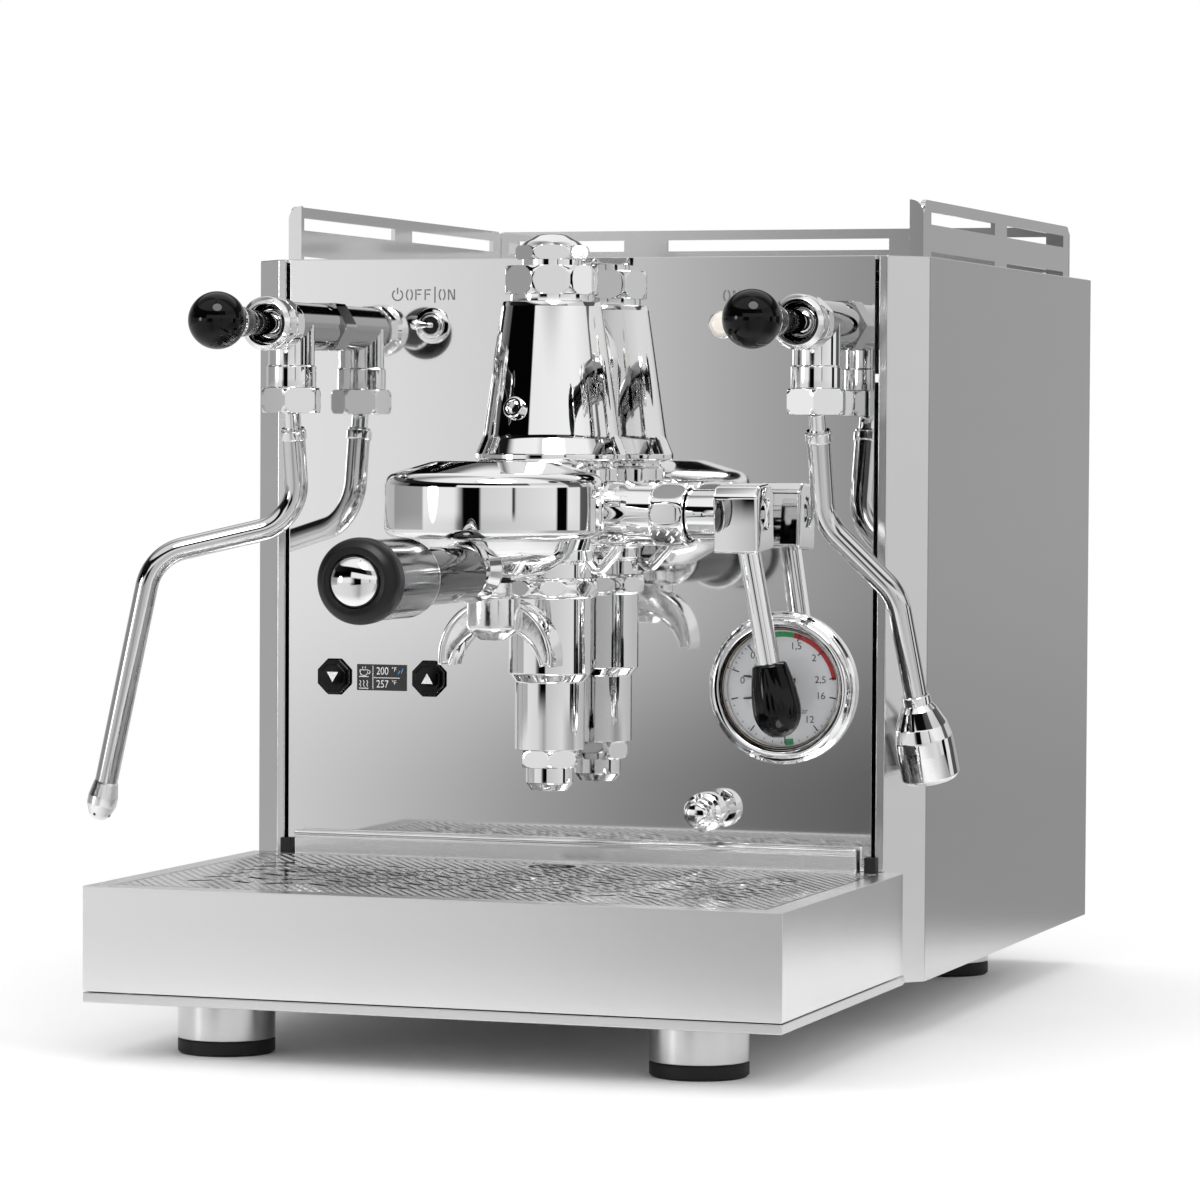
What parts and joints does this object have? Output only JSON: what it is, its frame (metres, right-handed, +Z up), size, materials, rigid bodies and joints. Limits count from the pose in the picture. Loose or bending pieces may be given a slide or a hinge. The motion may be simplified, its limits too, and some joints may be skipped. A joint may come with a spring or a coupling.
{
  "type": "espresso machine",
  "caption": "Box-shaped espresso machine with a lever brew group, joystick steam and water valves with bent wands, round pressure gauge, cup rail and pull-out drip tray.",
  "frame": {"origin": "middle of the outline on the table, under the soles of the feet", "axes": "+Z up, -Y towards the user (the brew group and portafilter side), +X to the user's right"},
  "size_m": [0.3678, 0.5705, 0.348],
  "materials": {
    "black_plastic": "gloss black",
    "black_rubber": "matt",
    "case_sheet": "polished stainless sheet",
    "chromed_brass": "bright chrome",
    "clear_glass": "clear",
    "dial_white": "printed",
    "display_black": "gloss",
    "handle_metal": "satin",
    "inner_brass": "plain",
    "lamp": "translucent lens",
    "needle_black": "satin",
    "polished_steel": "mirror polished stainless sheet",
    "screen_steel": "plain",
    "tank_plastic": "translucent",
    "wand_steel": "polished tube"
  },
  "bodies": {
    "machine": {"base_plate": "case_sheet", "side_panel_left": "case_sheet", "side_panel_right": "case_sheet", "front_panel": "polished_steel", "back_panel": "case_sheet", "top_plate": "polished_steel", "cup_rail": "polished_steel", "feet": "polished_steel", "foot_pads": "black_rubber", "tray_stops": "black_rubber", "group_body": "chromed_brass", "group_cap": "chromed_brass", "group_collar_nut": "chromed_brass", "group_plug": "chromed_brass", "group_gasket": "black_rubber", "shower_screen": "screen_steel", "exhaust_chamber": "chromed_brass", "exhaust_nozzle": "chromed_brass", "cam_gland_nut": "chromed_brass", "steam_valve": "chromed_brass", "water_valve": "chromed_brass", "outlet_nuts": "chromed_brass", "gauge_case": "chromed_brass", "gauge_dial": "dial_white", "gauge_glass": "clear_glass", "display": "display_black", "switch_ring": "chromed_brass", "lamp_lens": "lamp", "selector_collar": "chromed_brass", "boilers": "inner_brass", "water_tank": "tank_plastic", "power_inlet": "display_black"},
    "tray": {"drip_tray": "polished_steel"},
    "grate": {"drip_grate": "polished_steel"},
    "lid": {"tank_lid": "polished_steel"},
    "lever": {"lever_hub": "chromed_brass", "lever_rod": "chromed_brass", "lever_knob": "black_plastic"},
    "portafilter": {"portafilter_body": "chromed_brass", "portafilter_handle": "handle_metal", "handle_end_ring": "black_rubber", "handle_end_cap": "chromed_brass", "filter_basket": "screen_steel", "spout_seal": "black_rubber", "twin_spout": "chromed_brass"},
    "steam_joystick": {"steam_stick": "chromed_brass", "steam_ball": "black_plastic"},
    "water_joystick": {"water_stick": "chromed_brass", "water_ball": "black_plastic"},
    "steam_pipe": {"steam_wand": "wand_steel", "steam_tip": "chromed_brass"},
    "water_pipe": {"water_wand": "wand_steel", "water_tip": "chromed_brass"},
    "boiler_hand": {"needle_boiler": "needle_black"},
    "pump_hand": {"needle_pump": "needle_black"},
    "down_key": {"button_down": "black_plastic"},
    "up_key": {"button_up": "black_plastic"},
    "power_toggle": {"switch_lever": "chromed_brass"},
    "selector": {"selector_knob": "chromed_brass"}
  },
  "joints": [
    {"name": "tray_slide", "type": "slide", "parent": "machine", "child": "tray", "axis": [0, -1, 0], "range_m": [0, 0.18]},
    {"name": "grate_lift", "type": "slide", "parent": "tray", "child": "grate", "axis": [0, 0, 1], "range_m": [0, 0.014]},
    {"name": "lid_lift", "type": "slide", "parent": "machine", "child": "lid", "axis": [0, 0, 1], "range_m": [0, 0.12]},
    {"name": "brew_lever", "type": "hinge", "parent": "machine", "child": "lever", "pos_m": [0.09022, -0.059, 0.2165], "axis": [-1, 0, 0], "range_deg": [0, 60]},
    {"name": "portafilter_turn", "type": "hinge", "parent": "machine", "child": "portafilter", "pos_m": [0.01591, -0.128, 0.2073], "axis": [0, 0, 1], "range_deg": [-45, 0]},
    {"name": "steam_joystick_tilt", "type": "hinge", "parent": "machine", "child": "steam_joystick", "pos_m": [-0.09709, -0.088, 0.2945], "axis": [1, 0, 0], "range_deg": [-10, 10]},
    {"name": "water_joystick_tilt", "type": "hinge", "parent": "machine", "child": "water_joystick", "pos_m": [0.13292, -0.088, 0.2945], "axis": [1, 0, 0], "range_deg": [-10, 10]},
    {"name": "steam_wand_swivel", "type": "hinge", "parent": "machine", "child": "steam_pipe", "pos_m": [-0.09709, -0.068, 0.263], "axis": [0, 0, 1], "range_deg": [-20, 55]},
    {"name": "water_wand_swivel", "type": "hinge", "parent": "machine", "child": "water_pipe", "pos_m": [0.13292, -0.068, 0.263], "axis": [0, 0, 1], "range_deg": [-80, 0]},
    {"name": "boiler_needle_turn", "type": "hinge", "parent": "machine", "child": "boiler_hand", "pos_m": [0.10822, -0.0296, 0.1477], "axis": [0, 1, 0], "range_deg": [0, 172]},
    {"name": "pump_needle_turn", "type": "hinge", "parent": "machine", "child": "pump_hand", "pos_m": [0.10822, -0.0296, 0.1407], "axis": [0, -1, 0], "range_deg": [0, 172]},
    {"name": "down_press", "type": "slide", "parent": "machine", "child": "down_key", "axis": [0, 1, 0], "range_m": [0, 0.001], "stiffness_N_per_m": 600, "springref_m": -0.0008},
    {"name": "up_press", "type": "slide", "parent": "machine", "child": "up_key", "axis": [0, 1, 0], "range_m": [0, 0.001], "stiffness_N_per_m": 600, "springref_m": -0.0008},
    {"name": "power_flip", "type": "hinge", "parent": "machine", "child": "power_toggle", "pos_m": [-0.04859, -0.0308, 0.2951], "axis": [0, 0, 1], "range_deg": [0, 48]},
    {"name": "selector_turn", "type": "hinge", "parent": "machine", "child": "selector", "pos_m": [0.07791, -0.032, 0.0924], "axis": [0, 1, 0], "range_deg": [0, 270]}
  ]
}
